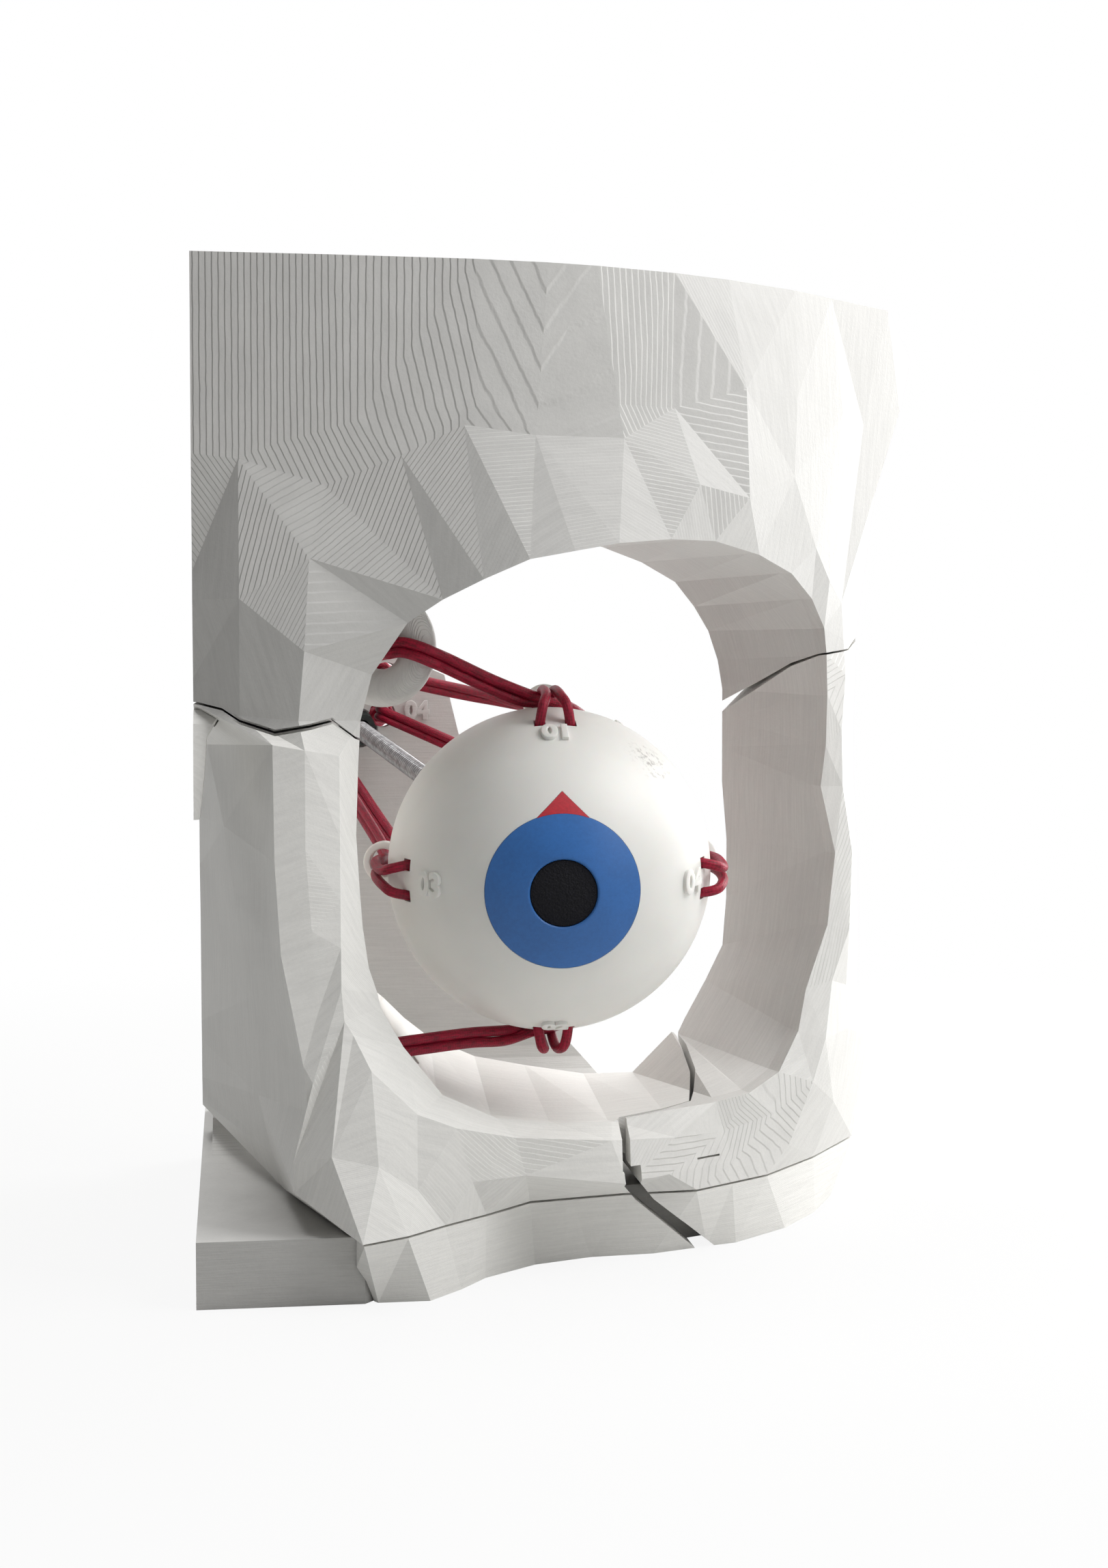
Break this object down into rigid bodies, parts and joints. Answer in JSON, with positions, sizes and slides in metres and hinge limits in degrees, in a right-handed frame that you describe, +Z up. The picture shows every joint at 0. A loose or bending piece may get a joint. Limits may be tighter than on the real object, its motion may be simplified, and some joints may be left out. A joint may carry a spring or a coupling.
{
  "type": "eye muscle simulator",
  "caption": "Classroom model of half a low-poly face with an open eye socket, a turning eyeball on a hidden ball joint and elastic cords for its muscles.",
  "frame": {"origin": "middle of the model's footprint box, on the table", "axes": "+Z up; -Y the way the face looks; +X the outer (temple) side of the half face, so -X is its flat middle cut"},
  "size_m": [0.144, 0.135, 0.18],
  "materials": {
    "bone_print": "layered print, light grey",
    "base_print": "layered print, light grey",
    "eye_print": "fine print, off-white",
    "iris_blue": "smooth blue",
    "pupil_black": "rough black",
    "marker_red": "smooth red",
    "cord_red": "woven sheath",
    "rod_steel": "zinc plated",
    "nut_steel": "blackened"
  },
  "bodies": {
    "skull": {"base_slab": "base_print", "maxilla_foot": "base_print", "zygomatic_foot": "base_print", "frontal_bone": "bone_print", "zygomatic_bone": "bone_print", "maxilla": "bone_print", "nasal_bone": "bone_print", "trochlea_ring": "bone_print", "threaded_rod": "rod_steel", "front_nut": "nut_steel", "rear_nut": "nut_steel", "pivot_ball": "rod_steel", "superior_rectus_cord": "cord_red", "inferior_rectus_cord": "cord_red", "medial_rectus_cord": "cord_red", "lateral_rectus_cord": "cord_red", "superior_oblique_cord": "cord_red", "inferior_oblique_cord": "cord_red"},
    "yaw_cup": {"inner_pivot_cup": "eye_print"},
    "pitch_cup": {"outer_pivot_cup": "eye_print"},
    "eyeball": {"eyeball_globe": "eye_print", "iris_ring": "iris_blue", "pupil_disc": "pupil_black", "marker_triangle": "marker_red"}
  },
  "joints": [
    {"name": "eye_yaw", "type": "hinge", "parent": "skull", "child": "yaw_cup", "pos_m": [-0.007, -0.0285, 0.072], "axis": [0, 0, 1], "range_deg": [-25, 25], "deforming": ["superior_rectus_cord", "inferior_rectus_cord", "medial_rectus_cord", "lateral_rectus_cord", "superior_oblique_cord", "inferior_oblique_cord"]},
    {"name": "eye_pitch", "type": "hinge", "parent": "yaw_cup", "child": "pitch_cup", "pos_m": [-0.007, -0.0285, 0.072], "axis": [1, 0, 0], "range_deg": [-20, 20]},
    {"name": "eye_torsion", "type": "hinge", "parent": "pitch_cup", "child": "eyeball", "pos_m": [-0.007, -0.0285, 0.072], "axis": [-0.047, -0.9967, -0.0663], "range_deg": [-12, 12]}
  ]
}
